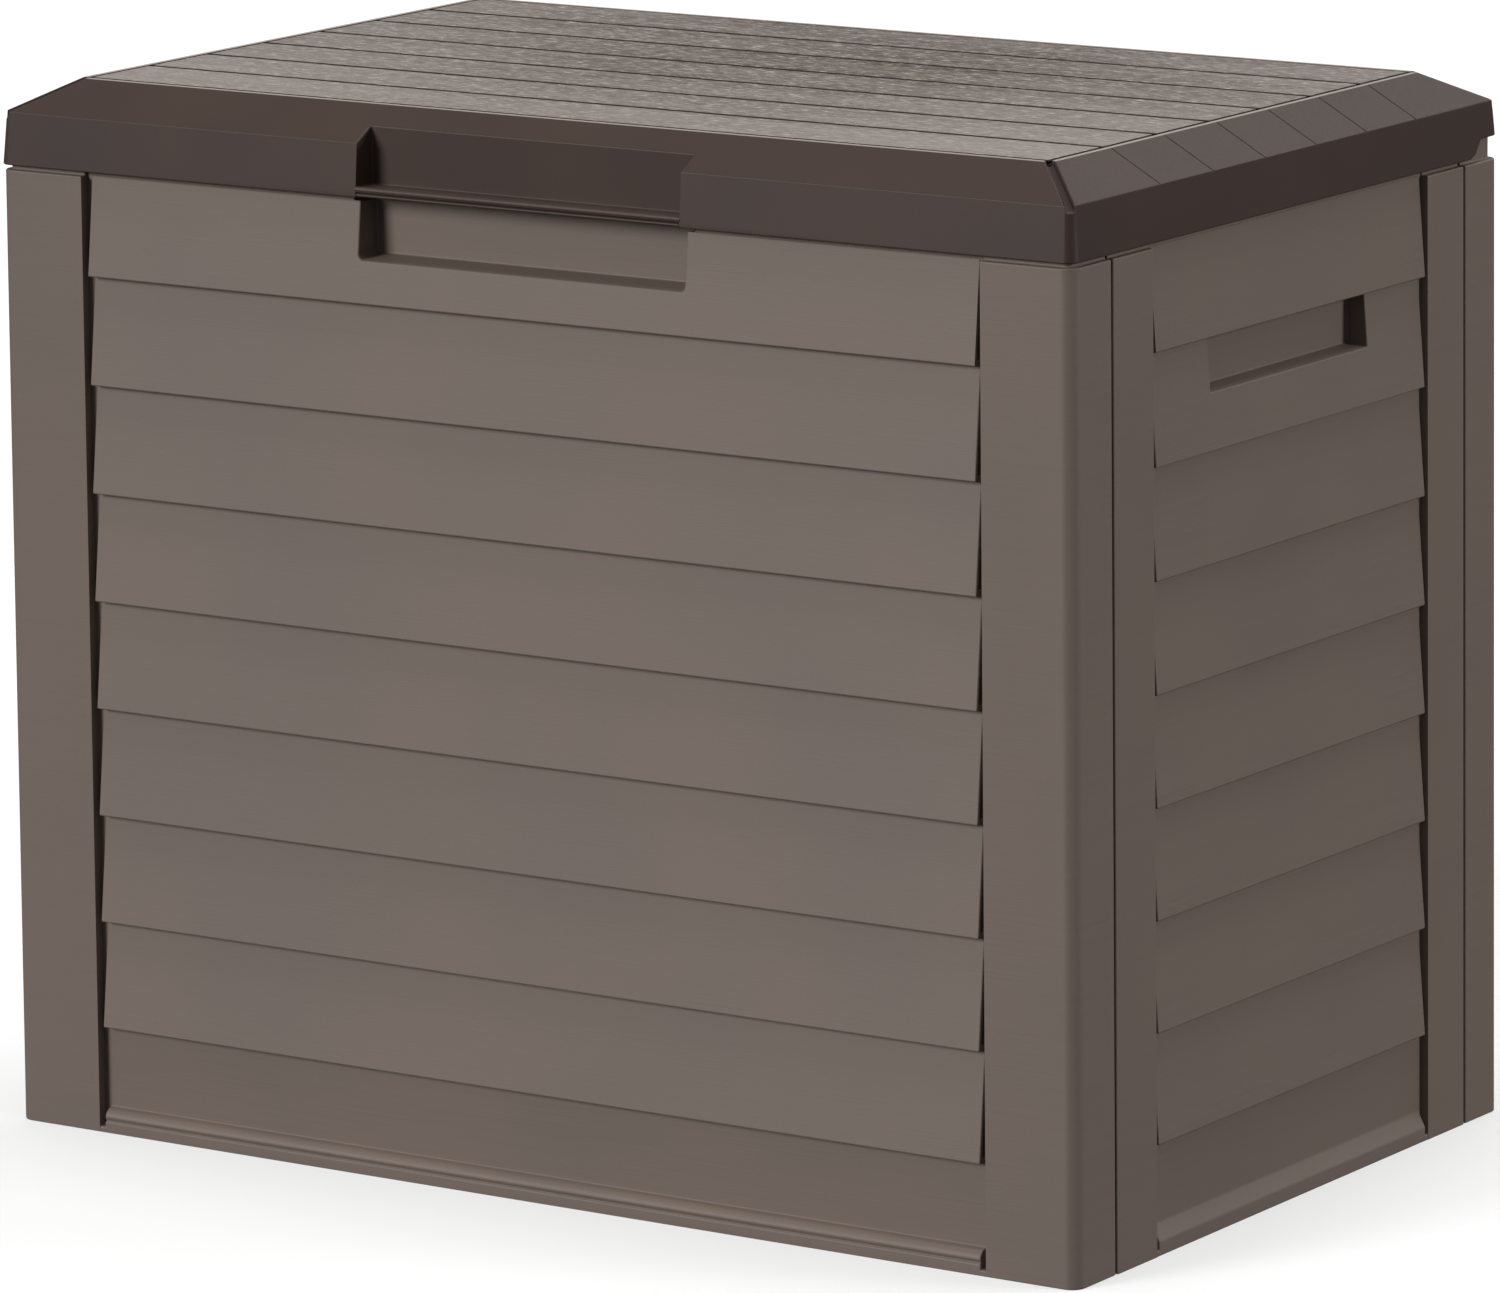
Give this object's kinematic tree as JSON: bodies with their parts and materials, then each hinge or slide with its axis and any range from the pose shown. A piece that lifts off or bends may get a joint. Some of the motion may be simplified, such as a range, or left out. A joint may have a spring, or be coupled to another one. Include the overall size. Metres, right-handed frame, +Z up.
{
  "type": "deck storage box",
  "caption": "Upright resin deck storage box with louvred walls, wrap-round corner posts, hand holds and a hinged bevelled lid with a wood-grain plank deck.",
  "frame": {"origin": "centre of the footprint, on the ground", "axes": "+X along the front towards the right-hand side, +Y from the front to the back, +Z up"},
  "size_m": [0.6136, 0.3956, 0.5172],
  "materials": {
    "body_resin": "warm taupe injection-moulded resin with a fine brushed grain along the slats, satin",
    "lid_resin": "dark brown moulded resin, smooth satin",
    "deck_resin": "grey-brown moulded wood grain with lighter streaks, dry matte",
    "steel": "zinc-plated steel"
  },
  "bodies": {
    "box": {"floor_panel": "body_resin", "front_panel": "body_resin", "back_panel": "body_resin", "left_side_panel": "body_resin", "right_side_panel": "body_resin", "corner_screw_front_left_lower": "steel", "corner_screw_front_left_middle": "steel", "corner_screw_front_left_upper": "steel", "corner_screw_front_right_lower": "steel", "corner_screw_front_right_middle": "steel", "corner_screw_front_right_upper": "steel", "corner_screw_back_left_lower": "steel", "corner_screw_back_left_middle": "steel", "corner_screw_back_left_upper": "steel", "corner_screw_back_right_lower": "steel", "corner_screw_back_right_middle": "steel", "corner_screw_back_right_upper": "steel", "hinge_pin_left": "steel", "hinge_pin_right": "steel"},
    "lid": {"lid_frame": "lid_resin", "lid_deck": "deck_resin"}
  },
  "joints": [
    {"name": "lid_hinge", "type": "hinge", "parent": "box", "child": "lid", "pos_m": [0, 0.191, 0.4815], "axis": [-1, 0, 0], "range_deg": [0, 100]}
  ]
}
